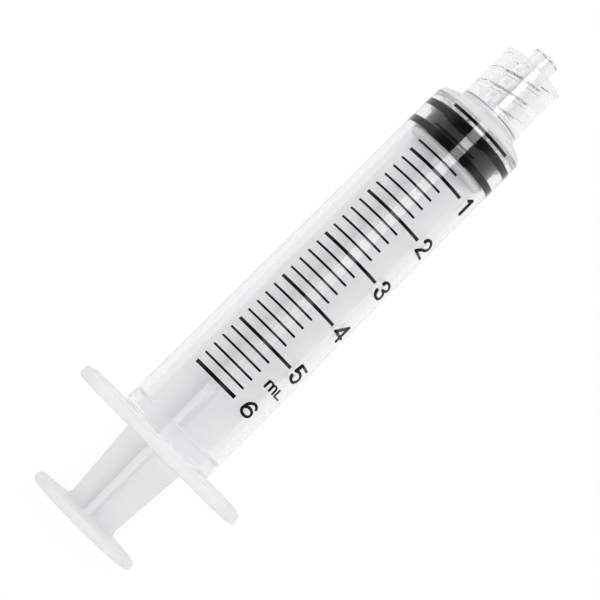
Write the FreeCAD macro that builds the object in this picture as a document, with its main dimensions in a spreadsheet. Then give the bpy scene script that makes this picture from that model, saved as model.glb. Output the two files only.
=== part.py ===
import FreeCAD, Part
import math
import os
import PartDesign
import Sketcher

# A 5 mL syringe with a lock collar, lying on the flat side of its finger flange.
# Lengths are in millimetres and angles in degrees.
# Every piece is drawn round the X axis, with x = 0 at the back face of the finger flange and +X towards
# the tip, and is then moved as one with the others, so that the origin lies under the middle.

doc = FreeCAD.newDocument("LuerLockSyringe")

# Driving dimensions: alias, value, what it is.
driving = [
    ("flangeSpan", 28.25, "finger flange, tip to tip across the wings"),
    ("flangeDepth", 18.0, "finger flange, between its flat sides"),
    ("flangeThick", 1.65, "finger flange plate"),
    ("flangeCorner", 2.5, "rounding of the four corners between flats and wing ends"),
    ("flangeEdge", 0.35, "bevel of the plate's rim"),
    ("panelInset", 0.8, "margin round the raised panel on the flange's front"),
    ("panelRise", 0.25, "height of that raised panel"),
    ("boreDia", 12.76, "bore of the tube"),
    ("wallRear", 1.15, "wall of the tube at the flange"),
    ("wallFront", 0.94, "wall of the tube at the shoulder"),
    ("chamberDepth", 59.6, "bore from the flange's back face to its floor"),
    ("floorThick", 1.07, "floor of the bore, out to the start of the shoulder"),
    ("floorBevel", 0.15, "bevel in the corner of the floor"),
    ("rootBevel", 0.5, "bevel where the tube meets the flange"),
    ("mouthChamfer", 0.5, "lead-in at the mouth of the bore"),
    ("ridgeStart", 2.6, "flange's back face to the retaining ridge"),
    ("ridgeLong", 1.35, "flat top of the retaining ridge"),
    ("ridgeRise", 0.3, "height of the retaining ridge in the bore"),
    ("ridgeRamp", 0.3, "length of each slope of the ridge"),
    ("shoulderLong", 1.45, "shoulder, from the tube to the lock collar"),
    ("shoulderBevel", 0.45, "bevel of the shoulder's outer edge"),
    ("neckBevel", 0.2, "bevel between shoulder and collar"),
    ("collarDia", 9.38, "lock collar, outside"),
    ("collarLong", 8.8, "lock collar, from the shoulder to its mouth"),
    ("lipLong", 0.8, "bead round the collar's mouth"),
    ("lipRise", 0.09, "height of that bead"),
    ("lipBevel", 0.2, "bevel round the collar's mouth"),
    ("lockDepth", 8.2, "space between collar and cone, from the mouth to its floor"),
    ("lockRootDia", 8.0, "bore of the collar, between its threads"),
    ("lockCrestDia", 7.0, "across the crests of the collar's thread"),
    ("lockLead", 5.0, "advance of one thread in a turn"),
    ("lockStarts", 2, "number of threads"),
    ("lockCrestLong", 0.35, "crest of a thread, along the axis"),
    ("lockRootLong", 0.95, "root of a thread, along the axis"),
    ("lockMargin", 0.55, "thread's ends, in from the floor and from the mouth"),
    ("lockSink", 0.15, "depth to which a thread is rooted in the collar's wall"),
    ("lockTurn", 40.0, "turn of the thread's start about the axis, from the side that lies up"),
    ("coneTipDia", 3.99, "luer cone at its tip"),
    ("coneTaper", 0.06, "luer cone, diameter gained per length"),
    ("coneReach", 2.7, "luer cone, ahead of the collar's mouth"),
    ("coneBevel", 0.35, "bevel of the cone's tip"),
    ("fluidDia", 2.0, "fluid passage through the cone"),
    ("cutOver", 1.0, "run of a cut past the face that it opens"),
    ("sealGap", 0.03, "running gap between stopper and bore"),
    ("stopperGap", 0.67, "stopper's face to the floor of the bore, as the syringe is set"),
    ("stopperLong", 4.43, "stopper, overall"),
    ("rearRingLong", 1.15, "rear sealing ring"),
    ("frontRingLong", 1.3, "front sealing ring"),
    ("waistDrop", 0.5, "waist, below the rings"),
    ("waistBevel", 0.12, "bevel at the foot of each ring"),
    ("faceBevel", 0.25, "bevel of the front ring's edge, more than the floor's so that the two can meet"),
    ("seatGap", 0.05, "gap all round the snap head and at the stopper's back"),
    ("neckDia", 4.4, "neck of the snap head"),
    ("neckLong", 1.0, "neck, from the disc to the barb"),
    ("barbDia", 6.6, "barb of the snap head"),
    ("barbEdge", 0.35, "straight edge of the barb"),
    ("headLong", 1.3, "snap head, from its barb to its nose"),
    ("noseDia", 3.6, "flat nose of the snap head"),
    ("discDia", 12.0, "disc behind the stopper"),
    ("discThick", 0.8, "that disc"),
    ("discBevel", 0.15, "bevel of the disc's rim"),
    ("rodLong", 68.25, "plunger, from the thumb rest's back to the disc's front"),
    ("thumbShort", 0.5, "thumb rest's diameter, less than the flange's depth, so that it clears the table"),
    ("thumbRim", 1.25, "thumb rest at its rim"),
    ("thumbCone", 0.45, "extra thickness of the thumb rest at the ribs"),
    ("thumbBevel", 0.35, "bevel of the thumb rest's rim"),
    ("bossMargin", 0.2, "flat of the thumb rest past the rounding at the ribs"),
    ("gateDia", 2.4, "dimple left by the mould's gate"),
    ("gateDeep", 0.15, "depth of that dimple"),
    ("ribThick", 0.9, "each rib of the plunger"),
    ("ribRear", 7.5, "across the ribs at the thumb rest"),
    ("ribFront", 10.7, "across the ribs in the bore"),
    ("ribTaper", 18.6, "length over which the ribs widen"),
    ("ribRoot", 0.9, "rounding between ribs and thumb rest"),
    ("ribTurn", -8.0, "turn of the plunger about its axis, as the syringe is set"),
    ("inkThick", 0.03, "film of ink"),
    ("zeroGap", 0.17, "floor of the bore to the zero line"),
    ("zeroShift", 0.37, "extra room between the zero line and the even scale"),
    ("minorLine", 0.31, "width of a 0.2 mL line"),
    ("majorLine", 0.46, "width of a 1 mL line"),
    ("lastLine", 0.54, "width of the last line"),
    ("lineFrom", -36.0, "where every line starts, from the top of the tube"),
    ("minorTo", 19.4, "where a 0.2 mL line ends"),
    ("majorTo", 41.2, "where a 1 mL line ends"),
    ("zeroTo", 45.0, "where the zero line ends"),
    ("scaleStep", 0.2, "millilitres from one line to the next"),
    ("scaleMajor", 1.0, "millilitres from one long line to the next"),
    ("scaleTo", 6.0, "millilitres at the last line"),
]

sizes = doc.addObject("Spreadsheet::Sheet", "dims")
for row, (alias, number, meaning) in enumerate(driving, start=1):
    sizes.set(f"A{row}", meaning)
    sizes.set(f"B{row}", str(number))
    sizes.setAlias(f"B{row}", alias)
doc.recompute()

# Stations along the axis and radii, as expressions on the sheet.
boreRadius = "(dims.boreDia / 2)"
tubeEnd = "(dims.chamberDepth + dims.floorThick)"
shoulderEnd = f"({tubeEnd} + dims.shoulderLong)"
collarMouth = f"({shoulderEnd} + dims.collarLong)"
lockFloor = f"({collarMouth} - dims.lockDepth)"
coneTip = f"({collarMouth} + dims.coneReach)"
rearRadius = f"({boreRadius} + dims.wallRear)"
frontRadius = f"({boreRadius} + dims.wallFront)"
stopperFace = "(dims.chamberDepth - dims.stopperGap)"
stopperBack = f"({stopperFace} - dims.stopperLong)"
discFront = f"({stopperBack} - dims.seatGap)"
thumbBack = f"({discFront} - dims.rodLong)"
ribStart = f"({thumbBack} + dims.thumbRim + dims.thumbCone)"
middle = f"(({coneTip} + {thumbBack}) / 2)"
lift = "(dims.flangeDepth / 2)"
turn = "dims.ribTurn"

AXIS = FreeCAD.Vector(1, 0, 0)
NEAR = 1e-4


def worth(expression):
    # The number that an expression on the sheet stands for now.
    return float(sizes.evalExpression(expression))


def originPlane(body, role):
    return next(part for part in body.Origin.OriginFeatures if part.Role == role)


def place(piece, turned="0"):
    # Every piece gets the same move: its middle over the origin, and the flange's flat side on the ground.
    piece.setExpression("Placement.Base.x", f"-{middle}")
    piece.setExpression("Placement.Base.z", lift)
    piece.Placement = FreeCAD.Placement(FreeCAD.Vector(), FreeCAD.Rotation(AXIS, 1))
    piece.setExpression("Placement.Rotation.Angle", turned)


def newBody(label):
    body = doc.addObject("PartDesign::Body", label)
    body.Label = label
    return body


def newSketch(body, label, role):
    sketch = body.newObject("Sketcher::SketchObject", label)
    sketch.AttachmentSupport = (originPlane(body, role), [""])
    sketch.MapMode = "FlatFace"
    return sketch


def outline(body, label, role, corners):
    # A closed outline of straight edges, each corner held at its own distances from the axes.
    sketch = newSketch(body, label, role)
    spots = [FreeCAD.Vector(worth(along), worth(across), 0) for along, across in corners]
    count = len(spots)
    for edge in range(count):
        sketch.addGeometry(Part.LineSegment(spots[edge], spots[(edge + 1) % count]), False)
    for edge in range(count):
        sketch.addConstraint(Sketcher.Constraint("Coincident", edge, 2, (edge + 1) % count, 1))
    for edge, (along, across) in enumerate(corners):
        for kind, text in (("DistanceX", along), ("DistanceY", across)):
            index = sketch.addConstraint(Sketcher.Constraint(kind, -1, 1, edge, 1, worth(text)))
            sketch.setExpression(f"Constraints[{index}]", text)
    return sketch


def spun(body, label, kind, corners):
    # A profile in the XY plane, its second number a radius, taken once round the X axis.
    sketch = outline(body, label + "Profile", "XY_Plane", corners)
    feature = body.newObject(kind, label)
    feature.Profile = sketch
    feature.ReferenceAxis = (sketch, ["H_Axis"])
    feature.Angle = 360
    doc.recompute()
    return feature


def edgesWhere(feature, test):
    # Names of the feature's edges for which the test holds at every one of a few points along them.
    names = []
    for number, edge in enumerate(feature.Shape.Edges, start=1):
        if all(test(point) for point in edge.discretize(5)):
            names.append(f"Edge{number}")
    return names


def rounded(body, base, label, radius, test):
    fillet = body.newObject("PartDesign::Fillet", label)
    fillet.Base = (base, edgesWhere(base, test))
    fillet.setExpression("Radius", radius)
    doc.recompute()
    return fillet


def bevelled(body, base, label, size, test):
    bevel = body.newObject("PartDesign::Chamfer", label)
    bevel.Base = (base, edgesWhere(base, test))
    bevel.setExpression("Size", size)
    doc.recompute()
    return bevel


def ringAt(along, across):
    # The test for a circular edge: its station on the axis, and its radius.
    station = worth(along)
    radius = worth(across)

    def test(point):
        return abs(point.x - station) < NEAR and abs(math.hypot(point.y, point.z) - radius) < NEAR

    return test


# Finger flange: a disc as wide as the wings, cut off by two flats, with its four corners rounded.
def wingPlate(body, label, inset, start, thick):
    half = f"(dims.flangeSpan / 2 - {inset})"
    flat = f"(dims.flangeDepth / 2 - {inset})"
    reach = f"sqrt({half} * {half} - {flat} * {flat})"
    sketch = newSketch(body, label + "Outline", "YZ_Plane")
    sketch.setExpression("AttachmentOffset.Base.z", start)
    opening = math.atan2(worth(flat), worth(reach))
    circle = Part.Circle(FreeCAD.Vector(), FreeCAD.Vector(0, 0, 1), worth(half))
    corner = FreeCAD.Vector(worth(reach), worth(flat), 0)
    across = FreeCAD.Vector(-corner.x, corner.y, 0)
    sketch.addGeometry(Part.ArcOfCircle(circle, -opening, opening), False)
    sketch.addGeometry(Part.LineSegment(corner, across), False)
    sketch.addGeometry(Part.ArcOfCircle(circle, math.pi - opening, math.pi + opening), False)
    sketch.addGeometry(Part.LineSegment(corner.negative(), across.negative()), False)
    joins = ((0, 2, 1, 1), (1, 2, 2, 1), (2, 2, 3, 1), (3, 2, 0, 1))
    for first, firstEnd, second, secondEnd in joins:
        sketch.addConstraint(Sketcher.Constraint("Coincident", first, firstEnd, second, secondEnd))
    for arc in (0, 2):
        sketch.addConstraint(Sketcher.Constraint("Coincident", arc, 3, -1, 1))
    for line in (1, 3):
        sketch.addConstraint(Sketcher.Constraint("Horizontal", line))
    index = sketch.addConstraint(Sketcher.Constraint("Radius", 0, worth(half)))
    sketch.setExpression(f"Constraints[{index}]", half)
    index = sketch.addConstraint(Sketcher.Constraint("Radius", 2, worth(half)))
    sketch.setExpression(f"Constraints[{index}]", half)
    for line, text in ((1, flat), (3, f"-{flat}")):
        index = sketch.addConstraint(Sketcher.Constraint("DistanceY", -1, 1, line, 1, worth(text)))
        sketch.setExpression(f"Constraints[{index}]", text)
    pad = body.newObject("PartDesign::Pad", label)
    pad.Profile = sketch
    pad.setExpression("Length", thick)
    doc.recompute()

    def atCorner(point):
        return (
            worth(start) - NEAR < point.x < worth(f"{start} + {thick}") + NEAR
            and abs(abs(point.y) - worth(reach)) < NEAR
            and abs(abs(point.z) - worth(flat)) < NEAR
        )

    return rounded(body, pad, label + "Corners", "dims.flangeCorner", atCorner)


# Barrel: flange, tube, shoulder, luer cone and lock collar in one clear moulding.
def makeBarrel():
    body = newBody("barrel")
    plate = wingPlate(body, "Wings", "0", "0", "dims.flangeThick")
    front = worth("dims.flangeThick")

    def atRim(point):
        return min(abs(point.x), abs(point.x - front)) < NEAR

    bevelled(body, plate, "WingRim", "dims.flangeEdge", atRim)
    wingPlate(body, "Panel", "dims.panelInset", "dims.flangeThick", "dims.panelRise")
    panelTop = "(dims.flangeThick + dims.panelRise)"

    collarRadius = "(dims.collarDia / 2)"
    lipRadius = f"({collarRadius} + dims.lipRise)"
    coneTipRadius = "(dims.coneTipDia / 2)"
    coneFootRadius = f"({coneTipRadius} + dims.coneTaper * ({coneTip} - {lockFloor}) / 2)"
    outside = spun(body, "Outside", "PartDesign::Revolution", [
        ("0", "0"),
        ("0", rearRadius),
        (tubeEnd, frontRadius),
        (shoulderEnd, collarRadius),
        (f"({collarMouth} - dims.lipLong)", collarRadius),
        (f"({collarMouth} - dims.lipLong + dims.lipRise)", lipRadius),
        (collarMouth, lipRadius),
        (collarMouth, coneFootRadius),
        (coneTip, coneFootRadius),
        (coneTip, "0"),
    ])
    shoulder = bevelled(body, outside, "Shoulder", "dims.shoulderBevel", ringAt(tubeEnd, frontRadius))
    neck = bevelled(body, shoulder, "Neck", "dims.neckBevel", ringAt(shoulderEnd, collarRadius))
    slope = f"(({rearRadius} - {frontRadius}) / {tubeEnd})"
    rootRadius = f"({rearRadius} - {slope} * {panelTop})"
    root = bevelled(body, neck, "Root", "dims.rootBevel", ringAt(panelTop, rootRadius))
    bevelled(body, root, "Lip", "dims.lipBevel", ringAt(collarMouth, lipRadius))

    # The bore, with the ridge near its mouth that keeps the stopper in.
    ridgeEnd = "(dims.ridgeStart + dims.ridgeLong)"
    ridgeRadius = f"({boreRadius} - dims.ridgeRise)"
    bore = spun(body, "Bore", "PartDesign::Groove", [
        ("0", "0"),
        ("0", f"({boreRadius} + dims.mouthChamfer)"),
        ("dims.mouthChamfer", boreRadius),
        ("(dims.ridgeStart - dims.ridgeRamp)", boreRadius),
        ("dims.ridgeStart", ridgeRadius),
        (ridgeEnd, ridgeRadius),
        (f"({ridgeEnd} + dims.ridgeRamp)", boreRadius),
        ("dims.chamberDepth", boreRadius),
        ("dims.chamberDepth", "0"),
    ])
    bevelled(body, bore, "Floor", "dims.floorBevel", ringAt("dims.chamberDepth", boreRadius))

    # The space between collar and cone, which leaves the cone with its taper.
    coneMouthRadius = f"({coneTipRadius} + dims.coneTaper * dims.coneReach / 2)"
    lockRadius = "(dims.lockRootDia / 2)"
    beyond = f"({coneTip} + dims.cutOver)"
    spun(body, "LockSpace", "PartDesign::Groove", [
        (lockFloor, coneFootRadius),
        (lockFloor, lockRadius),
        (collarMouth, lockRadius),
        (beyond, lockRadius),
        (beyond, f"({coneTipRadius} - dims.coneTaper * dims.cutOver / 2)"),
        (coneTip, coneTipRadius),
        (collarMouth, coneMouthRadius),
    ])
    fluidRadius = "(dims.fluidDia / 2)"
    passage = spun(body, "Passage", "PartDesign::Groove", [
        ("(dims.chamberDepth - dims.cutOver)", "0"),
        ("(dims.chamberDepth - dims.cutOver)", fluidRadius),
        (beyond, fluidRadius),
        (beyond, "0"),
    ])
    bevelled(body, passage, "Nose", "dims.coneBevel", ringAt(coneTip, coneTipRadius))

    # The lock: right-handed ridges inside the collar, one for each start.
    sink = "(dims.lockRootDia / 2 + dims.lockSink)"
    crest = "(dims.lockCrestDia / 2)"
    first = f"({lockFloor} + dims.lockMargin)"
    flank = "((dims.lockRootLong - dims.lockCrestLong) / 2)"
    tooth = outline(body, "LockTooth", "XZ_Plane", [
        (first, sink),
        (f"({first} + {flank})", crest),
        (f"({first} + {flank} + dims.lockCrestLong)", crest),
        (f"({first} + dims.lockRootLong)", sink),
    ])
    tooth.AttachmentOffset = FreeCAD.Placement(FreeCAD.Vector(), FreeCAD.Rotation(AXIS, 1))
    tooth.setExpression("AttachmentOffset.Rotation.Angle", "dims.lockTurn")
    doc.recompute()
    ridge = body.newObject("PartDesign::AdditiveHelix", "LockRidge")
    ridge.Profile = tooth
    ridge.ReferenceAxis = (tooth, ["H_Axis"])
    ridge.Mode = 0
    ridge.setExpression("Pitch", "dims.lockLead")
    ridge.setExpression("Height", "dims.lockDepth - 2 * dims.lockMargin - dims.lockRootLong")
    doc.recompute()
    starts = body.newObject("PartDesign::PolarPattern", "LockStarts")
    starts.Originals = [ridge]
    starts.Axis = (tooth, ["H_Axis"])
    starts.Angle = 360
    starts.setExpression("Occurrences", "dims.lockStarts")
    body.Tip = starts
    place(body)
    return body


# Plunger: thumb rest, crossed ribs, disc and snap head in one milky moulding.
def makePlunger():
    body = newBody("plunger_rod")
    thumbRadius = "((dims.flangeDepth - dims.thumbShort) / 2)"
    rimEnd = f"({thumbBack} + dims.thumbRim)"
    rest = spun(body, "ThumbRest", "PartDesign::Revolution", [
        (thumbBack, "0"),
        (thumbBack, thumbRadius),
        (rimEnd, thumbRadius),
        (ribStart, "(dims.ribRear / 2 + dims.ribRoot + dims.bossMargin)"),
        (ribStart, "0"),
    ])
    rest = bevelled(body, rest, "ThumbRimBack", "dims.thumbBevel", ringAt(thumbBack, thumbRadius))
    bevelled(body, rest, "ThumbRimFront", "dims.thumbBevel", ringAt(rimEnd, thumbRadius))
    spun(body, "Gate", "PartDesign::Groove", [
        (thumbBack, "0"),
        (thumbBack, "(dims.gateDia / 2)"),
        (f"({thumbBack} + dims.gateDeep)", "(dims.gateDia / 2 - dims.gateDeep)"),
        (f"({thumbBack} + dims.gateDeep)", "0"),
    ])

    discBack = f"({discFront} - dims.discThick)"
    widest = f"({ribStart} + dims.ribTaper)"
    for name, role in (("RibAcross", "XY_Plane"), ("RibUpright", "XZ_Plane")):
        ribOutline = outline(body, name + "Outline", role, [
            (rimEnd, "(dims.ribRear / 2)"),
            (widest, "(dims.ribFront / 2)"),
            (f"({discBack} + dims.discThick / 2)", "(dims.ribFront / 2)"),
            (f"({discBack} + dims.discThick / 2)", "(-dims.ribFront / 2)"),
            (widest, "(-dims.ribFront / 2)"),
            (rimEnd, "(-dims.ribRear / 2)"),
        ])
        rib = body.newObject("PartDesign::Pad", name)
        rib.Profile = ribOutline
        rib.Midplane = True
        rib.setExpression("Length", "dims.ribThick")
        doc.recompute()
    footAt = worth(ribStart)
    footNear = worth("dims.ribThick / 2")
    footFrom = worth("dims.ribRear / 2")
    footTo = worth("dims.ribRear / 2 + dims.ribRoot")

    def atFoot(point):
        # The short edge where a rib's narrow face stands on the thumb rest.
        inner, outer = sorted((abs(point.y), abs(point.z)))
        return abs(point.x - footAt) < NEAR and inner < footNear + NEAR and footFrom - NEAR < outer < footTo

    rounded(body, rib, "RibRoots", "dims.ribRoot", atFoot)

    # The disc, the neck and the barbed head that the stopper snaps on to.
    discRadius = "(dims.discDia / 2)"
    barb = f"({discFront} + dims.neckLong)"
    barbEnd = f"({barb} + dims.barbEdge)"
    head = spun(body, "Head", "PartDesign::Revolution", [
        (discBack, "0"),
        (discBack, discRadius),
        (discFront, discRadius),
        (discFront, "(dims.neckDia / 2)"),
        (barb, "(dims.neckDia / 2)"),
        (barb, "(dims.barbDia / 2)"),
        (barbEnd, "(dims.barbDia / 2)"),
        (f"({barb} + dims.headLong)", "(dims.noseDia / 2)"),
        (f"({barb} + dims.headLong)", "0"),
    ])
    bevelled(body, head, "DiscRim", "dims.discBevel", ringAt(discBack, discRadius))
    place(body, turn)
    return body


# Stopper: two sealing rings and a waist, with a cavity that follows the snap head.
def makeStopper():
    body = newBody("stopper")
    sealRadius = f"({boreRadius} - dims.sealGap)"
    waistRadius = f"({sealRadius} - dims.waistDrop)"
    waistStart = f"({stopperBack} + dims.rearRingLong)"
    waistEnd = f"({stopperFace} - dims.frontRingLong)"
    rubber = spun(body, "Rubber", "PartDesign::Revolution", [
        (stopperBack, "0"),
        (stopperBack, sealRadius),
        (waistStart, sealRadius),
        (waistStart, waistRadius),
        (waistEnd, waistRadius),
        (waistEnd, sealRadius),
        (stopperFace, sealRadius),
        (stopperFace, "0"),
    ])
    for name, station in (("RearFoot", waistStart), ("FrontFoot", waistEnd)):
        rubber = bevelled(body, rubber, name, "dims.waistBevel", ringAt(station, waistRadius))
    bevelled(body, rubber, "FaceEdge", "dims.faceBevel", ringAt(stopperFace, sealRadius))
    lipBack = f"({discFront} + dims.neckLong - dims.seatGap)"
    edgeEnd = f"({discFront} + dims.neckLong + dims.barbEdge + dims.seatGap)"
    cavityEnd = f"({discFront} + dims.neckLong + dims.headLong + dims.seatGap)"
    spun(body, "Cavity", "PartDesign::Groove", [
        (stopperBack, "0"),
        (stopperBack, "(dims.neckDia / 2 + dims.seatGap)"),
        (lipBack, "(dims.neckDia / 2 + dims.seatGap)"),
        (lipBack, "(dims.barbDia / 2 + dims.seatGap)"),
        (edgeEnd, "(dims.barbDia / 2 + dims.seatGap)"),
        (cavityEnd, "(dims.noseDia / 2 + dims.seatGap)"),
        (cavityEnd, "0"),
    ])
    place(body)
    return body


# Scale: each line is the part of a film on the tube that lies inside one flat disc.
def inkFilm(label, firstAngle, lastAngle):
    # The film over the tube's slight taper, between two angles from the top, positive towards -Y.
    cones = []
    for name, film in (("Over", "dims.inkThick"), ("Tube", "0")):
        cone = doc.addObject("Part::Cone", label + name)
        cone.setExpression("Radius1", f"{rearRadius} + {film}")
        cone.setExpression("Radius2", f"{frontRadius} + {film}")
        cone.setExpression("Height", tubeEnd)
        cone.setExpression("Angle", f"{lastAngle} - {firstAngle}" if name == "Over" else "360")
        cone.Placement = FreeCAD.Placement(FreeCAD.Vector(), FreeCAD.Rotation(FreeCAD.Vector(0, 1, 0), 90))
        cones.append(cone)
    film = doc.addObject("Part::Cut", label)
    film.Base, film.Tool = cones
    # A cone turned on to X starts its sector at the bottom, half a turn from the top.
    film.Placement = FreeCAD.Placement(FreeCAD.Vector(), FreeCAD.Rotation(AXIS, 1))
    film.setExpression("Placement.Rotation.Angle", f"180 + {firstAngle}")
    return film


def inkLines(label, film, width, stations):
    discs = []
    for number, station in enumerate(stations):
        disc = doc.addObject("Part::Cylinder", f"{label}Disc{number}")
        disc.setExpression("Radius", f"{rearRadius} + dims.cutOver")
        disc.setExpression("Height", width)
        disc.Placement = FreeCAD.Placement(FreeCAD.Vector(), FreeCAD.Rotation(FreeCAD.Vector(0, 1, 0), 90))
        disc.setExpression("Placement.Base.x", f"{station} - {width} / 2")
        discs.append(disc)
    slices = doc.addObject("Part::Compound", label + "Discs")
    slices.Links = discs
    lines = doc.addObject("Part::Common", label)
    lines.Base = film
    lines.Tool = slices
    return lines


def makeScale():
    millilitre = f"(1000 / (pi * {boreRadius} * {boreRadius}))"
    zeroLine = "(dims.chamberDepth - dims.zeroGap)"
    count = round(worth("dims.scaleTo / dims.scaleStep"))
    perMajor = round(worth("dims.scaleMajor / dims.scaleStep"))

    def station(line):
        return f"({zeroLine} - dims.zeroShift - {line} * dims.scaleStep * {millilitre})"

    minorAt = [station(line) for line in range(1, count) if line % perMajor]
    majorAt = [station(line) for line in range(perMajor, count, perMajor)]
    short = inkFilm("ShortFilm", "dims.lineFrom", "dims.minorTo")
    long = inkFilm("LongFilm", "dims.lineFrom", "dims.majorTo")
    zero = inkFilm("ZeroFilm", "dims.lineFrom", "dims.zeroTo")
    last = inkFilm("LastFilm", "dims.lineFrom", "dims.minorTo")
    scale = doc.addObject("Part::Compound", "scale_print")
    scale.Links = [
        inkLines("MinorLines", short, "dims.minorLine", minorAt),
        inkLines("MajorLines", long, "dims.majorLine", majorAt),
        inkLines("ZeroLine", zero, "dims.majorLine", [zeroLine]),
        inkLines("LastLine", last, "dims.lastLine", [station(count)]),
    ]
    place(scale)
    return scale


pieces = [makeBarrel(), makePlunger(), makeStopper(), makeScale()]
doc.recompute()

failed = [item.Label for item in doc.Objects if {"Invalid", "Error"} & set(item.State)]
for piece in pieces:
    if piece.Shape.isNull() or not piece.Shape.isValid():
        failed.append(piece.Label)
if failed:
    raise RuntimeError("these objects failed: " + ", ".join(failed))

os.makedirs("parts", exist_ok=True)
for piece in pieces:
    piece.Shape.exportStep(f"parts/{piece.Label}.step")
    box = piece.Shape.BoundBox
    print(f"{piece.Label}: {len(piece.Shape.Solids)} solids, {piece.Shape.Volume:.2f} mm3,"
          f" x {box.XMin:.2f} to {box.XMax:.2f}, y {box.YMin:.2f} to {box.YMax:.2f},"
          f" z {box.ZMin:.2f} to {box.ZMax:.2f}")
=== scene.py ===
import math
import bmesh
import bpy
from mathutils import Matrix, Vector


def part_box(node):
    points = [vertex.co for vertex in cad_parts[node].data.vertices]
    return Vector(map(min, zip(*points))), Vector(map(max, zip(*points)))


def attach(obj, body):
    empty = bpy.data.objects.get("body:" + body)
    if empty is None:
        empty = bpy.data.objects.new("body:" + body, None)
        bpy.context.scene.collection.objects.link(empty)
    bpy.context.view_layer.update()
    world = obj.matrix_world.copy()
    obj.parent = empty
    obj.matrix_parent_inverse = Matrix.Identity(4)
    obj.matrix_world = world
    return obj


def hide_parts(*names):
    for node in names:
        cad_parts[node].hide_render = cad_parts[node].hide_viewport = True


# A 5 mL syringe with a lock collar, lying on a pale table. The pieces' sizes are in millimetres
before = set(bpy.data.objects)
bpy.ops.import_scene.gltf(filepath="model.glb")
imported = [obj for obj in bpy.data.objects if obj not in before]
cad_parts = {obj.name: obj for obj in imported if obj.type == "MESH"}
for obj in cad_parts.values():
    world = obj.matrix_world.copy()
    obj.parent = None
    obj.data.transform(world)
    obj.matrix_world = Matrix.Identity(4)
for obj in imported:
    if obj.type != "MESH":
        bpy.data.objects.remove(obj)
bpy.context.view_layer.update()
mm = 0.001

barrelLow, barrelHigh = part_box("barrel")
stopperLow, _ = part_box("stopper")
axisHeight = (barrelLow.z + barrelHigh.z) / 2
backFace = barrelLow.x                         # back face of the finger flange
axisLine = Vector((1, 0, 0))
axisPoint = Vector((0, 0, axisHeight))
touching = 1e-7                                # metres within which two corners are the same
level = 1e-6                                   # metres within which two places are level
near = 0.01                                    # millimetres within which a corner lies on a cylinder
square = 0.999                                 # least share of a normal along the axis, on a square face
cornerRows = 6                                 # edges round a rounded corner of a turned shape
sharpAngle = 35                                # degrees from which an edge is shaded as sharp


# Helpers for turned shapes, all about the syringe's own axis

def roundCorners(bm, corners, reach, segments, affect):
    bmesh.ops.bevel(bm, geom=corners, offset=reach * mm, offset_type="OFFSET", segments=segments,
                    profile=0.5, affect=affect, material=-1, clamp_overlap=True)


def turnedLine(bm, corners, start):
    # A line in the plane above the axis: distance from start, radius, and length of the rounding there
    spots = [bm.verts.new((start + along * mm, 0, axisHeight + radius * mm))
             for along, radius, _ in corners]
    for first, second in zip(spots, spots[1:]):
        bm.edges.new((first, second))
    for spot, (_, _, reach) in zip(spots, corners):
        if reach:
            roundCorners(bm, [spot], reach, cornerRows, "VERTICES")


def spinRound(bm, steps):
    bmesh.ops.spin(bm, geom=bm.verts[:] + bm.edges[:], cent=axisPoint, axis=axisLine, dvec=(0, 0, 0),
                   angle=2 * math.pi, steps=steps, use_merge=True, use_duplicate=False)
    bmesh.ops.remove_doubles(bm, verts=bm.verts[:], dist=touching)


def radiusOf(point):
    return math.hypot(point.y, point.z - axisHeight)


def finishPiece(bm, name, body, material, weighted=True):
    bmesh.ops.recalc_face_normals(bm, faces=bm.faces[:])
    for face in bm.faces:
        face.smooth = True
    for edge in bm.edges:
        if len(edge.link_faces) == 2 and edge.calc_face_angle(0) > math.radians(sharpAngle):
            edge.smooth = False
    mesh = bpy.data.meshes.new(name)
    bm.to_mesh(mesh)
    bm.free()
    piece = bpy.data.objects.new(name, mesh)
    bpy.context.collection.objects.link(piece)
    piece.data.materials.append(material)
    if weighted:
        shading = piece.modifiers.new("evenShading", "WEIGHTED_NORMAL")
        shading.keep_sharp = True
    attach(piece, body)
    return piece


# Effects shared by the materials

def mouldFlowGroup():
    # Slow waves in a moulded skin, as a height and as a small change of roughness
    group = bpy.data.node_groups.new("mouldFlow", "ShaderNodeTree")
    for label, low in (("Scale", 300.0), ("Roughness", 0.1), ("Spread", 0.05)):
        socket = group.interface.new_socket(name=label, in_out="INPUT", socket_type="NodeSocketFloat")
        socket.default_value = low
    for label in ("Height", "Roughness"):
        group.interface.new_socket(name=label, in_out="OUTPUT", socket_type="NodeSocketFloat")
    nodes, links = group.nodes, group.links
    inputs = nodes.new("NodeGroupInput")
    outputs = nodes.new("NodeGroupOutput")
    place = nodes.new("ShaderNodeTexCoord")
    stretch = nodes.new("ShaderNodeMapping")
    stretch.inputs["Scale"].default_value = (0.35, 1.0, 1.0)   # the melt flows along the barrel
    noise = nodes.new("ShaderNodeTexNoise")
    noise.inputs["Detail"].default_value = 3.0
    links.new(place.outputs["Object"], stretch.inputs["Vector"])
    links.new(stretch.outputs["Vector"], noise.inputs["Vector"])
    links.new(inputs.outputs["Scale"], noise.inputs["Scale"])
    links.new(noise.outputs["Fac"], outputs.inputs["Height"])
    centred = nodes.new("ShaderNodeMath")
    centred.operation = "SUBTRACT"
    centred.inputs[1].default_value = 0.5
    links.new(noise.outputs["Fac"], centred.inputs[0])
    swing = nodes.new("ShaderNodeMath")
    swing.operation = "MULTIPLY_ADD"
    links.new(centred.outputs[0], swing.inputs[0])
    links.new(inputs.outputs["Spread"], swing.inputs[1])
    links.new(inputs.outputs["Roughness"], swing.inputs[2])
    links.new(swing.outputs[0], outputs.inputs["Roughness"])
    return group


mouldFlow = mouldFlowGroup()


def newMaterial(name):
    material = bpy.data.materials.new(name)
    material.use_nodes = True
    nodes = material.node_tree.nodes
    shader = nodes["Principled BSDF"]
    return material, nodes, material.node_tree.links, shader


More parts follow.
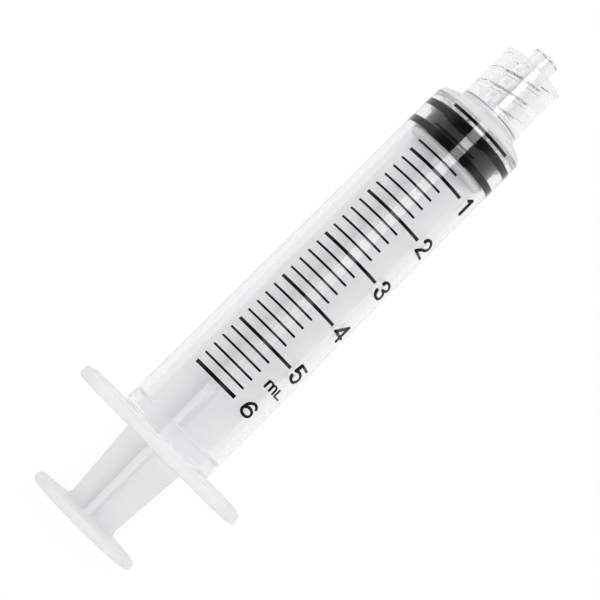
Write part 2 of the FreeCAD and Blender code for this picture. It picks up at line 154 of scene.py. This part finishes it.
def addFlow(nodes, links, shader, look):
    flow = nodes.new("ShaderNodeGroup")
    flow.node_tree = mouldFlow
    flow.inputs["Scale"].default_value = look["flowScale"]
    flow.inputs["Roughness"].default_value = look["roughness"]
    flow.inputs["Spread"].default_value = look["spread"]
    links.new(flow.outputs["Roughness"], shader.inputs["Roughness"])
    bump = nodes.new("ShaderNodeBump")
    bump.inputs["Distance"].default_value = look["flowDepth"] * mm
    bump.inputs["Strength"].default_value = 1.0
    links.new(flow.outputs["Height"], bump.inputs["Height"])
    links.new(bump.outputs["Normal"], shader.inputs["Normal"])


clearLook = {"tint": (0.975, 0.982, 0.999, 1), "ior": 1.49, "roughness": 0.015, "spread": 0.01,
             "flowScale": 260.0, "flowDepth": 0.0001, "shadeTint": (1, 1, 1, 1),
             "guidedFrom": 4.5, "clear": 1.0}
# The flange is moulded against a blasted face of the tool, and scatters what shines through it
frostedLook = dict(clearLook, tint=(0.93, 0.935, 0.955, 1), roughness=0.5, spread=0.1, flowDepth=0.002,
                   clear=0.35)
# Thick corners and slopes are a little milky, and the ridge and the tube's root less so
hazyLook = dict(clearLook, tint=(0.91, 0.918, 0.945, 1), clear=0.5, roughness=0.05)
ridgeLook = dict(hazyLook, clear=0.72)


def clearPolypropylene(name, look):
    material, nodes, links, shader = newMaterial(name)
    shader.inputs["Base Color"].default_value = look["tint"]
    shader.inputs["Transmission Weight"].default_value = look["clear"]
    shader.inputs["IOR"].default_value = look["ior"]
    addFlow(nodes, links, shader, look)
    # Shadow and diffuse rays pass straight through, so the pieces inside are lit as through a thin wall
    path = nodes.new("ShaderNodeLightPath")
    through = nodes.new("ShaderNodeBsdfTransparent")
    through.inputs["Color"].default_value = look["shadeTint"]
    mix = nodes.new("ShaderNodeMixShader")
    either = nodes.new("ShaderNodeMath")
    either.operation = "MAXIMUM"
    links.new(path.outputs["Is Shadow Ray"], either.inputs[0])
    links.new(path.outputs["Is Diffuse Ray"], either.inputs[1])
    # Light that the walls have led on for long leaves them, as it does where real plastic scatters it
    guided = nodes.new("ShaderNodeMath")
    guided.operation = "GREATER_THAN"
    guided.inputs[1].default_value = look["guidedFrom"]
    links.new(path.outputs["Ray Depth"], guided.inputs[0])
    straight = nodes.new("ShaderNodeMath")
    straight.operation = "MAXIMUM"
    links.new(either.outputs[0], straight.inputs[0])
    links.new(guided.outputs[0], straight.inputs[1])
    links.new(straight.outputs[0], mix.inputs["Fac"])
    links.new(shader.outputs[0], mix.inputs[1])
    links.new(through.outputs[0], mix.inputs[2])
    links.new(mix.outputs[0], nodes["Material Output"].inputs["Surface"])
    return material


milkyLook = {"colour": (0.905, 0.912, 0.965, 1), "roughness": 0.42, "spread": 0.12, "flowScale": 420.0,
             "flowDepth": 0.006, "clear": 0.1, "ior": 1.49, "scatter": 1.0, "scatterScale": 4.0,
             "radius": (1.0, 0.97, 0.94)}


def milkyPolypropylene(name, look):
    material, nodes, links, shader = newMaterial(name)
    shader.inputs["Base Color"].default_value = look["colour"]
    shader.inputs["Transmission Weight"].default_value = look["clear"]
    shader.inputs["IOR"].default_value = look["ior"]
    shader.inputs["Subsurface Weight"].default_value = look["scatter"]
    shader.inputs["Subsurface Scale"].default_value = look["scatterScale"] * mm
    shader.inputs["Subsurface Radius"].default_value = look["radius"]
    addFlow(nodes, links, shader, look)
    return material


# Wet black rubber
rubberLook = {"colour": (0.003, 0.003, 0.005, 1), "roughness": 0.12, "spread": 0.08, "shine": 0.3,
              "flowScale": 700.0, "flowDepth": 0.003}
# Where a ring is pressed on the bore no air is left between them, so nothing shines there
pressedLook = dict(rubberLook, shine=0.0, flowDepth=0.0)
# Printed ink
inkLook = {"colour": (0.005, 0.005, 0.007, 1), "roughness": 0.10, "spread": 0.04, "flowScale": 1800.0,
           "flowDepth": 0.0005, "shine": 0.45}
# The figures lie well down the side of the tube, where a full shine would grey them
figureLook = dict(inkLook, shine=0.1)


def blackFinish(name, look):
    material, nodes, links, shader = newMaterial(name)
    shader.inputs["Base Color"].default_value = look["colour"]
    shader.inputs["Specular IOR Level"].default_value = look["shine"]
    addFlow(nodes, links, shader, look)
    return material


clearMaterial = clearPolypropylene("clearPolypropylene", clearLook)
frostedMaterial = clearPolypropylene("frostedPolypropylene", frostedLook)
hazyMaterial = clearPolypropylene("hazyPolypropylene", hazyLook)
ridgeMaterial = clearPolypropylene("ridgePolypropylene", ridgeLook)
milkyMaterial = milkyPolypropylene("milkyPolypropylene", milkyLook)
rubberMaterial = blackFinish("blackRubber", rubberLook)
pressedMaterial = blackFinish("pressedRubber", pressedLook)
inkMaterial = blackFinish("blackInk", inkLook)
figureMaterial = blackFinish("blackFigureInk", figureLook)
for node, material in (("barrel", clearMaterial), ("plunger_rod", milkyMaterial),
                       ("stopper", rubberMaterial), ("scale_print", inkMaterial)):
    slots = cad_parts[node].data.materials
    slots.clear()
    slots.append(material)
print("materials made")


# Barrel: flange, tube, shoulder, cone and collar as one clear skin

barrel = {
    # Places along the axis are distances from the flange's back face, and the rest of the tube is radii
    "panelTop": 1.9, "plate": 1.65, "wallRear": 7.53, "wallFront": 7.32, "tubeEnd": 60.67,
    "shoulderEnd": 62.12, "collar": 4.69, "lip": 4.78, "lipStart": 70.12, "lipRun": 0.12, "mouth": 70.92,
    "lockBore": 4.0, "lockFloor": 62.72, "lockCrest": 3.5, "coneFoot": 2.322, "coneTip": 1.995,
    "tip": 73.62, "passage": 1.0, "passageHaze": 64.0, "floor": 59.6, "bore": 6.38, "boreMouth": 6.88,
    "mouthRun": 0.5, "ridge": 6.08, "ridgeRear": (2.2, 2.6), "ridgeFront": (3.95, 4.35),
    "skin": 0.003,                                # keeps the ink's underside inside the skin
    "steps": 144,
    "wing": 14.125, "flat": 9.0, "corner": 2.5, "cornerSteps": 8, "rim": 0.4, "rimSteps": 5,
    "wingSteps": 192, "panelInset": 0.8, "panelRim": 0.08, "panelRimSteps": 2, "rootReach": 0.53,
    "threadLead": 5.0, "threadStarts": 2, "threadFrom": 63.27, "threadTo": 70.37,
    "threadCrest": 0.35, "threadRoot": 0.95, "threadTurn": 40.0, "threadRows": 96,
    # How far each corner of the moulding is rounded
    "rounding": {"root": 0.5, "shoulder": 0.6, "neck": 0.3, "lip": 0.05, "mouth": 0.28, "lockMouth": 0.08,
                 "lockFloor": 0.12, "tip": 0.4, "passage": 0.08, "floor": 0.3, "ridge": 0.15, "lead": 0.1},
    # Where the wall is milky: from and to along the axis, least and greatest radius, and finish
    "milkyZones": {
        "root": (1.91, 2.56, 7.3, 9.0, "ridge"),
        "retainingRidge": (2.0, 4.6, 6.0, 6.45, "ridge"),
        "shoulder": (60.0, 62.6, 4.5, 7.4, "hazy"),
        "passage": (59.65, 63.95, 0.9, 1.1, "hazy"),
        "lockFloor": (62.5, 63.0, 2.2, 4.1, "hazy"),
        "coneTip": (73.1, 73.7, 1.3, 2.2, "hazy"),
    },
}


def tubeRadius(along):
    # Outside of the tube in millimetres at a distance from the flange's back face
    share = along / barrel["tubeEnd"]
    return barrel["wallRear"] + (barrel["wallFront"] - barrel["wallRear"]) * share


def wingOutline(bm):
    # A disc cut by two flats, its corners rounded by a fan of cuts that touch the corner's circle
    half, corner, steps = barrel["wing"], barrel["corner"], barrel["cornerSteps"]
    upright = Matrix.Translation((backFace, 0, axisHeight)) @ Matrix.Rotation(math.pi / 2, 4, "Y")
    bmesh.ops.create_circle(bm, cap_ends=True, radius=half * mm, segments=barrel["wingSteps"],
                            matrix=upright)
    cornerUp = barrel["flat"] - corner
    cornerSide = math.sqrt((half - corner) ** 2 - cornerUp ** 2)
    lowest = math.atan2(cornerUp, cornerSide)
    for step in range(steps + 1):
        angle = math.pi / 2 + (lowest - math.pi / 2) * step / steps
        for side in (1, -1):
            for up in (1, -1):
                normal = Vector((0, side * math.cos(angle), up * math.sin(angle)))
                centre = Vector((backFace, side * cornerSide * mm, axisHeight + up * cornerUp * mm))
                rim = centre + normal * corner * mm
                bmesh.ops.bisect_plane(bm, geom=bm.verts[:] + bm.edges[:] + bm.faces[:], dist=1e-8,
                                       plane_co=rim, plane_no=normal, clear_outer=True)


def raiseFaces(bm, faces, height):
    grown = bmesh.ops.extrude_face_region(bm, geom=faces)
    corners = [item for item in grown["geom"] if isinstance(item, bmesh.types.BMVert)]
    bmesh.ops.translate(bm, verts=corners, vec=(height * mm, 0, 0))


def squareFaces(bm):
    # The many-sided faces that stand square to the axis, from back to front
    faces = [face for face in bm.faces if abs(face.normal.x) > square and len(face.verts) > 12]
    return sorted(faces, key=lambda face: face.calc_center_median().x)


def flangeShell(bm):
    # The plate with its raised panel. Returns the flat faces at its back and on the panel
    wingOutline(bm)
    raiseFaces(bm, bm.faces[:], barrel["plate"])
    bmesh.ops.recalc_face_normals(bm, faces=bm.faces[:])
    rims = [edge for edge in bm.edges if edge.calc_face_angle(0) > 1]
    roundCorners(bm, rims, barrel["rim"], barrel["rimSteps"], "EDGES")
    front = squareFaces(bm)[-1]
    bmesh.ops.inset_region(bm, faces=[front], thickness=(barrel["panelInset"] - barrel["rim"]) * mm,
                           use_even_offset=True)
    raiseFaces(bm, [front], barrel["panelTop"] - barrel["plate"])
    bmesh.ops.delete(bm, geom=[front], context="FACES_ONLY")    # else it stays inside the plate
    roundCorners(bm, squareFaces(bm)[-1].edges[:], barrel["panelRim"], barrel["panelRimSteps"], "EDGES")
    faces = squareFaces(bm)
    return faces[0], faces[-1]


def cutThread(bm):
    # Raises the two ridges, right-handed, from the rows of corners that the spin left in the collar's bore
    half, flank = barrel["threadCrest"] / 2, (barrel["threadRoot"] - barrel["threadCrest"]) / 2
    pitch = barrel["threadLead"] / barrel["threadStarts"]
    first = barrel["threadFrom"] + half + flank
    depth = barrel["lockBore"] - barrel["lockCrest"]
    for vert in bm.verts:
        along = (vert.co.x - backFace) / mm
        inCollar = barrel["threadFrom"] < along < barrel["threadTo"]
        if not inCollar or abs(radiusOf(vert.co) / mm - barrel["lockBore"]) > near:
            continue
        turn = math.atan2(vert.co.z - axisHeight, vert.co.y) - math.radians(90 + barrel["threadTurn"])
        offset = along - first - barrel["threadLead"] * turn / (2 * math.pi)
        nearest = abs(offset - pitch * round(offset / pitch))
        height = min(1.0, max(0.0, (half + flank - nearest) / flank))
        fade = min(1.0, (along - barrel["threadFrom"]) / flank, (barrel["threadTo"] - along) / flank)
        inward = 1 - depth * height * fade / barrel["lockBore"]
        vert.co.y *= inward
        vert.co.z = axisHeight + (vert.co.z - axisHeight) * inward


def makeBarrel():
    size = barrel
    rounding, skin = size["rounding"], size["skin"]
    bm = bmesh.new()
    turnedLine(bm, [
        (size["panelTop"], size["wallRear"] + size["rootReach"], 0),
        (size["panelTop"], tubeRadius(size["panelTop"]) + skin, rounding["root"]),
        (size["tubeEnd"], size["wallFront"] + skin, rounding["shoulder"]),
        (size["shoulderEnd"], size["collar"], rounding["neck"]),
        (size["lipStart"], size["collar"], rounding["lip"]),
        (size["lipStart"] + size["lipRun"], size["lip"], rounding["lip"]),
        (size["mouth"], size["lip"], rounding["mouth"]),
        (size["mouth"], size["lockBore"], rounding["lockMouth"]),
        (size["lockFloor"], size["lockBore"], rounding["lockFloor"]),
        (size["lockFloor"], size["coneFoot"], rounding["lockFloor"]),
        (size["tip"], size["coneTip"], rounding["tip"]),
        (size["tip"], size["passage"], rounding["passage"]),
        (size["passageHaze"], size["passage"], 0),
        (size["floor"], size["passage"], rounding["passage"]),
        (size["floor"], size["bore"], rounding["floor"]),
        (size["ridgeFront"][1], size["bore"], rounding["ridge"]),
        (size["ridgeFront"][0], size["ridge"], rounding["ridge"]),
        (size["ridgeRear"][1], size["ridge"], rounding["ridge"]),
        (size["ridgeRear"][0], size["bore"], rounding["ridge"]),
        (size["mouthRun"], size["bore"], rounding["lead"]),
        (0, size["boreMouth"], 0),
    ], backFace)
    # The collar's bore gets rows of corners, for the thread to rise from
    longEdge = (size["threadTo"] - size["threadFrom"]) * mm
    lockWall = [edge for edge in bm.edges if edge.calc_length() > longEdge and
                all(abs(radiusOf(vert.co) - size["lockBore"] * mm) < level for vert in edge.verts)]
    bmesh.ops.subdivide_edges(bm, edges=lockWall, cuts=size["threadRows"])
    spinRound(bm, size["steps"])
    cutThread(bm)

    # The flange comes open at its back and on its panel. Flat rings close it to the bore's mouth and the tube
    plateShell = bmesh.new()
    bmesh.ops.delete(plateShell, geom=list(flangeShell(plateShell)), context="FACES_ONLY")
    plateMesh = bpy.data.meshes.new("plateShell")
    plateShell.to_mesh(plateMesh)
    plateShell.free()
    bm.from_mesh(plateMesh)
    bpy.data.meshes.remove(plateMesh)
    middle = backFace + size["panelTop"] / 2 * mm
    rims = [edge for edge in bm.edges if edge.is_boundary]
    panelRings = [edge for edge in rims if edge.verts[0].co.x > middle]
    backRings = [edge for edge in rims if edge.verts[0].co.x < middle]
    for rings in (panelRings, backRings):
        bmesh.ops.triangle_fill(bm, edges=rings, use_beauty=True)
    openEdges = sum(1 for edge in bm.edges if not edge.is_manifold)
    print("barrel skin: open edges", openEdges, "faces", len(bm.faces))
    piece = finishPiece(bm, "clearBarrel", "barrel", clearMaterial)
    finishes = {"frosted": frostedMaterial, "hazy": hazyMaterial, "ridge": ridgeMaterial}
    slotOf = {}
    for finish, material in finishes.items():
        slotOf[finish] = len(piece.data.materials)
        piece.data.materials.append(material)
    frostedTo = backFace + size["panelTop"] * mm
    for face in piece.data.polygons:
        ends = [piece.data.vertices[index].co for index in face.vertices]
        outsideBore = min(radiusOf(spot) for spot in ends) > (size["boreMouth"] - near) * mm
        if outsideBore and max(spot.x for spot in ends) < frostedTo + level:
            face.material_index = slotOf["frosted"]
        along = (face.center.x - backFace) / mm
        out = radiusOf(face.center) / mm
        for start, stop, least, most, finish in size["milkyZones"].values():
            if start < along < stop and least < out < most:
                face.material_index = slotOf[finish]
    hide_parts("barrel")


makeBarrel()
print("barrel made")


# Stopper: two rings that press on the bore, a waist and the cavity for the snap head

stopper = {"ring": 6.388, "waist": 5.85, "rearRing": 1.15, "frontRing": 1.3, "long": 4.43,
           "neck": 2.25, "lip": 0.9, "barb": 3.35, "barbEnd": 1.35, "nose": 1.85, "cavity": 2.3,
           "edge": 0.25, "foot": 0.12, "lipEdge": 0.08, "backEdge": 0.05, "cavityEdge": 0.05,
           "pressed": 0.002, "steps": 144}


def makeStopper():
    size = stopper
    bm = bmesh.new()
    turnedLine(bm, [
        (size["long"], 0, 0),
        (size["long"], size["ring"], size["edge"]),
        (size["long"] - size["frontRing"], size["ring"], size["lipEdge"]),
        (size["long"] - size["frontRing"], size["waist"], size["foot"]),
        (size["rearRing"], size["waist"], size["foot"]),
        (size["rearRing"], size["ring"], size["lipEdge"]),
        (0, size["ring"], size["backEdge"]),
        (0, size["neck"], size["cavityEdge"]),
        (size["lip"], size["neck"], size["cavityEdge"]),
        (size["lip"], size["barb"], size["cavityEdge"]),
        (size["barbEnd"], size["barb"], size["cavityEdge"]),
        (size["cavity"], size["nose"], size["cavityEdge"]),
        (size["cavity"], 0, 0),
    ], stopperLow.x)
    spinRound(bm, size["steps"])
    piece = finishPiece(bm, "rubberStopper", "stopper", rubberMaterial)
    piece.data.materials.append(pressedMaterial)
    for face in piece.data.polygons:
        ends = [piece.data.vertices[index].co for index in face.vertices]
        if all(radiusOf(spot) > (size["ring"] - size["pressed"]) * mm for spot in ends):
            face.material_index = 1
    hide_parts("stopper")


makeStopper()
print("stopper made")


# Plunger rod: the CAD moulding with every edge softened as a mould leaves it

rod = {"softening": 0.12, "steps": 3, "angle": 25, "flatWithin": 0.5}


def makeRod():
    bm = bmesh.new()
    bm.from_mesh(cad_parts["plunger_rod"].data)
    bmesh.ops.remove_doubles(bm, verts=bm.verts[:], dist=touching)
    bmesh.ops.dissolve_limit(bm, angle_limit=math.radians(rod["flatWithin"]), verts=bm.verts[:],
                             edges=bm.edges[:])
    piece = finishPiece(bm, "milkyRod", "plunger", milkyMaterial, weighted=False)
    soft = piece.modifiers.new("softEdges", "BEVEL")
    soft.width = rod["softening"] * mm
    soft.segments = rod["steps"]
    soft.limit_method = "ANGLE"
    soft.angle_limit = math.radians(rod["angle"])
    shading = piece.modifiers.new("evenShading", "WEIGHTED_NORMAL")
    shading.keep_sharp = False
    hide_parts("plunger_rod")


makeRod()
print("plunger rod made")


# Numerals: pen strokes of ink, drawn flat and then laid round the tube. Reading runs down the -Y side,
# and the tops of the figures point to the tip. Points are shares of the width and height of a figure.

numerals = {"pen": 0.40, "ink": 0.03, "lift": 0.004, "penRings": 3, "curveSteps": 10,
            "endSteps": (16, 8), "zeroGap": 0.17, "zeroShift": 0.37}
millilitre = 1000 / (math.pi * barrel["bore"] ** 2)     # its length along the bore
# The printed zero stands a little ahead of where the other lines would put it, and the figures follow them
evenZero = barrel["floor"] - numerals["zeroGap"] - numerals["zeroShift"]
figures = {
    "One": {"at": 1, "ahead": -0.06, "angle": 59.4, "width": 0.66, "height": 2.41, "strokes": [
        ("straight", [(0.5, 0.0), (0.5, 1.0)]), ("straight", [(0.5, 1.0), (-0.46, 0.82)])]},
    "Two": {"at": 2, "ahead": 0.03, "angle": 58.4, "width": 2.2, "height": 2.47, "strokes": [
        ("straight", [(1.0, 0.0), (0.0, 0.08)]),
        ("curved", [(0.0, 0.08), (0.35, 0.34), (0.69, 0.46), (0.94, 0.66), (0.76, 0.915), (0.39, 1.0),
                    (0.13, 0.915), (0.04, 0.75)])]},
    "Three": {"at": 3, "ahead": 0.04, "angle": 58.25, "width": 2.08, "height": 2.41, "strokes": [
        ("curved", [(0.0, 0.32), (0.145, 0.105), (0.51, 0.0), (0.94, 0.085), (1.0, 0.255), (0.82, 0.44),
                    (0.46, 0.52)]),
        ("curved", [(0.46, 0.52), (0.82, 0.6), (1.0, 0.775), (0.82, 0.93), (0.43, 1.0), (0.145, 0.93),
                    (0.06, 0.78)])]},
    "Four": {"at": 4, "ahead": 0.16, "angle": 59.75, "width": 2.52, "height": 2.47, "strokes": [
        ("straight", [(0.72, 0.0), (0.72, 1.0)]), ("straight", [(0.72, 1.0), (0.0, 0.33)]),
        ("straight", [(0.0, 0.33), (1.0, 0.29)])]},
    "Five": {"at": 5, "ahead": 0.13, "angle": 57.9, "width": 2.06, "height": 2.47, "strokes": [
        ("straight", [(0.99, 0.935), (0.10, 1.0)]), ("straight", [(0.10, 1.0), (0.0, 0.555)]),
        ("curved", [(0.0, 0.555), (0.35, 0.62), (0.685, 0.575), (0.96, 0.44), (1.0, 0.3), (0.865, 0.134),
                    (0.57, 0.01), (0.28, 0.045), (0.07, 0.15), (0.0, 0.26)])]},
    "Six": {"at": 6, "ahead": 0.22, "angle": 41.0, "width": 1.97, "height": 2.0, "strokes": [
        ("ring", [(0.0, 0.29), (0.5, 0.0), (1.0, 0.29), (0.5, 0.585)]),
        ("curved", [(0.0, 0.29), (0.08, 0.66), (0.3, 0.9), (0.6, 1.0), (0.9, 0.92), (1.0, 0.8)])]},
    "Unit": {"at": 6, "ahead": 4.27, "angle": 52.2, "width": 1.9, "height": 1.04, "pen": 0.27, "strokes": [
        ("straight", [(-0.72, 0.0), (-0.72, 0.97)]),
        ("curved", [(-0.72, 0.72), (-0.6, 0.98), (-0.35, 0.98), (-0.2, 0.7)]),
        ("straight", [(-0.2, 0.72), (-0.2, 0.0)]),
        ("curved", [(-0.2, 0.72), (-0.08, 0.96), (0.12, 0.96), (0.28, 0.7)]),
        ("straight", [(0.28, 0.72), (0.28, 0.0)]),
        ("straight", [(0.62, 1.0), (0.62, 0.0)]), ("straight", [(0.62, 0.0), (1.35, 0.0)])]},
}


def penStroke(bm, kind, points, pen):
    # One stroke of a round pen, as a tube along a curve with a ball at each end
    curve = bpy.data.curves.new("penStroke", "CURVE")
    curve.dimensions = "3D"
    curve.bevel_depth = pen / 2
    curve.bevel_resolution = numerals["penRings"]
    curve.use_fill_caps = True
    curve.resolution_u = numerals["curveSteps"]
    spline = curve.splines.new("BEZIER")
    spline.bezier_points.add(len(points) - 1)
    spline.use_cyclic_u = kind == "ring"
    handle = "VECTOR" if kind == "straight" else "AUTO"
    for knot, (across, up) in zip(spline.bezier_points, points):
        knot.co = (across, up, 0)
        knot.handle_left_type = handle
        knot.handle_right_type = handle
    holder = bpy.data.objects.new("penStroke", curve)
    bpy.context.collection.objects.link(holder)
    bpy.context.view_layer.update()
    mesh = bpy.data.meshes.new_from_object(holder.evaluated_get(bpy.context.evaluated_depsgraph_get()))
    bm.from_mesh(mesh)
    bpy.data.objects.remove(holder)
    bpy.data.curves.remove(curve)
    bpy.data.meshes.remove(mesh)
    if kind == "ring":
        return
    around, rows = numerals["endSteps"]
    for across, up in (points[0], points[-1]):
        bmesh.ops.create_uvsphere(bm, u_segments=around, v_segments=rows, radius=pen / 2,
                                  matrix=Matrix.Translation((across, up, 0)))


def layOnTube(bm, angle, along, stretch, pen):
    # Flattens the strokes to a film and wraps them round the tube at an angle from the top. They are
    # stretched round the tube, so that from above a stroke looks as wide one way as the other
    for vert in bm.verts:
        across, up, thick = vert.co
        station = along + up
        radius = tubeRadius(station) + numerals["lift"] + thick * numerals["ink"] / pen
        turn = math.radians(angle) + across * stretch / tubeRadius(station)
        vert.co = (backFace + station * mm, -radius * math.sin(turn) * mm,
                   axisHeight + radius * math.cos(turn) * mm)


def makeFigure(name, figure):
    bm = bmesh.new()
    stretch = 1 / math.cos(math.radians(figure["angle"]))
    pen = figure.get("pen", numerals["pen"])
    for kind, points in figure["strokes"]:
        placed = [((across - 0.5) * figure["width"] / stretch, (up - 0.5) * figure["height"])
                  for across, up in points]
        penStroke(bm, kind, placed, pen)
    station = evenZero - figure["at"] * millilitre + figure["ahead"]
    layOnTube(bm, figure["angle"], station, stretch, pen)
    finishPiece(bm, "figure" + name, "barrel", figureMaterial, weighted=False)


for name, figure in figures.items():
    makeFigure(name, figure)
print("figures laid on the tube")


# Table, light and camera. The table and the lamps are in metres

# The glow is the pale background that the camera and mirrors see. Through plastic it is mostly the lit
# table that shows
tableLook = {"size": 6.0, "glow": 1.0, "glowShare": 0.95, "throughShare": 0.1, "roughness": 0.9,
             "colour": (0.95, 0.95, 0.95, 1), "grainTone": 0.985, "grain": 900.0}


def paleTable():
    look = tableLook
    material, nodes, links, shader = newMaterial("paleTable")
    shader.inputs["Roughness"].default_value = look["roughness"]
    shader.inputs["Specular IOR Level"].default_value = 0.0
    place = nodes.new("ShaderNodeTexCoord")
    noise = nodes.new("ShaderNodeTexNoise")
    noise.inputs["Scale"].default_value = look["grain"]
    tone = nodes.new("ShaderNodeMix")
    tone.data_type = "RGBA"
    tone.inputs["A"].default_value = look["colour"]
    tone.inputs["B"].default_value = [channel * look["grainTone"] for channel in look["colour"][:3]] + [1]
    links.new(place.outputs["Object"], noise.inputs["Vector"])
    links.new(noise.outputs["Fac"], tone.inputs["Factor"])
    links.new(tone.outputs["Result"], shader.inputs["Base Color"])
    glow = nodes.new("ShaderNodeEmission")
    glow.inputs["Strength"].default_value = look["glow"]
    path = nodes.new("ShaderNodeLightPath")
    seen = nodes.new("ShaderNodeMath")
    seen.operation = "MAXIMUM"
    links.new(path.outputs["Is Camera Ray"], seen.inputs[0])
    links.new(path.outputs["Is Glossy Ray"], seen.inputs[1])
    direct = nodes.new("ShaderNodeMath")
    direct.operation = "MULTIPLY"
    direct.inputs[1].default_value = look["glowShare"]
    links.new(seen.outputs[0], direct.inputs[0])
    share = nodes.new("ShaderNodeMix")
    share.inputs["B"].default_value = look["throughShare"]
    links.new(path.outputs["Is Transmission Ray"], share.inputs["Factor"])
    links.new(direct.outputs[0], share.inputs["A"])
    mix = nodes.new("ShaderNodeMixShader")
    links.new(share.outputs["Result"], mix.inputs["Fac"])
    links.new(shader.outputs[0], mix.inputs[1])
    links.new(glow.outputs[0], mix.inputs[2])
    links.new(mix.outputs[0], nodes["Material Output"].inputs["Surface"])
    return material


def makeTable():
    bm = bmesh.new()
    bmesh.ops.create_grid(bm, x_segments=1, y_segments=1, size=tableLook["size"] / 2)
    mesh = bpy.data.meshes.new("tableTop")
    bm.to_mesh(mesh)
    bm.free()
    table = bpy.data.objects.new("tableTop", mesh)
    bpy.context.collection.objects.link(table)
    table.data.materials.append(paleTable())


# Each part of the softbox has a place along the barrel, a width and a radiance, which fades towards the
# flange
studio = {"zenith": 0.10, "horizon": 0.9, "darkTo": 0.84, "brightFrom": 0.32, "through": 0.6,
          "softboxSide": -0.122, "softboxHeight": 1.0, "softboxDepth": 0.406,
          "softboxParts": ((0.2825, 0.235, 5.4), (0.1225, 0.085, 2.7), (0.055, 0.05, 1.6),
                           (0.01, 0.04, 0.8)),
          "fillCentre": (0.0, 0.0, 1.5), "fillSize": (1.6, 1.6), "fillRadiance": 1.6}


def makeWorld():
    world = bpy.data.worlds.new("studio")
    bpy.context.scene.world = world
    world.use_nodes = True
    nodes, links = world.node_tree.nodes, world.node_tree.links
    background = nodes["Background"]
    background.inputs["Color"].default_value = (1, 1, 1, 1)
    place = nodes.new("ShaderNodeTexCoord")
    parts = nodes.new("ShaderNodeSeparateXYZ")
    ramp = nodes.new("ShaderNodeMapRange")
    ramp.inputs["From Min"].default_value = studio["brightFrom"]
    ramp.inputs["From Max"].default_value = studio["darkTo"]
    ramp.inputs["To Min"].default_value = studio["horizon"]
    ramp.inputs["To Max"].default_value = studio["zenith"]
    ramp.interpolation_type = "SMOOTHSTEP"
    links.new(place.outputs["Generated"], parts.inputs["Vector"])
    links.new(parts.outputs["Z"], ramp.inputs["Value"])
    # Clear plastic shows the pale room all round, and only polish mirrors the dark part overhead
    path = nodes.new("ShaderNodeLightPath")
    seen = nodes.new("ShaderNodeMix")
    seen.inputs["B"].default_value = studio["through"]
    links.new(path.outputs["Is Transmission Ray"], seen.inputs["Factor"])
    links.new(ramp.outputs["Result"], seen.inputs["A"])
    links.new(seen.outputs["Result"], background.inputs["Strength"])


def makeLamp(name, centre, size, radiance, mirrored):
    wide, deep = size
    lamp = bpy.data.lights.new(name, "AREA")
    lamp.shape = "RECTANGLE"
    lamp.size = wide
    lamp.size_y = deep
    lamp.energy = radiance * math.pi * wide * deep
    holder = bpy.data.objects.new(name, lamp)
    holder.location = centre
    holder.visible_glossy = mirrored
    holder.visible_transmission = mirrored
    bpy.context.collection.objects.link(holder)


# Fitted to the photograph, in millimetres and degrees. The scale is the one at the height of the aim
view = {"tilt": 3.38, "roll": 44.9, "distance": 324.0, "aim": (-2.51, 0.47, 9.0), "pixelsPerMm": 7.57,
        "pixels": 600, "sensor": 36.0}


def makeCamera():
    tilt = math.radians(view["tilt"])
    roll = math.radians(view["roll"])
    along = Vector((math.cos(tilt), 0, math.sin(tilt)))    # the barrel's line in the picture
    across = Vector((0, -1, 0))
    looking = Vector((math.sin(tilt), 0, -math.cos(tilt)))
    right = along * math.cos(roll) + across * math.sin(roll)
    up = along * math.sin(roll) - across * math.cos(roll)
    turn = Matrix((right, up, -looking)).transposed().to_4x4()
    spot = Vector(view["aim"]) * mm - looking * view["distance"] * mm
    camera = bpy.data.cameras.new("camera")
    camera.sensor_width = view["sensor"]
    camera.lens = view["sensor"] * view["distance"] * view["pixelsPerMm"] / view["pixels"]
    camera.clip_start = 0.01
    holder = bpy.data.objects.new("camera", camera)
    holder.matrix_world = Matrix.Translation(spot) @ turn
    bpy.context.collection.objects.link(holder)
    bpy.context.scene.camera = holder


makeTable()
makeWorld()
for along, width, radiance in studio["softboxParts"]:
    centre = along, studio["softboxSide"], studio["softboxHeight"]
    makeLamp("softbox", centre, (width, studio["softboxDepth"]), radiance, True)
makeLamp("ceilingFill", studio["fillCentre"], studio["fillSize"], studio["fillRadiance"], False)
makeCamera()
bpy.context.scene.view_settings.view_transform = "Standard"
print("stage, light and camera set")
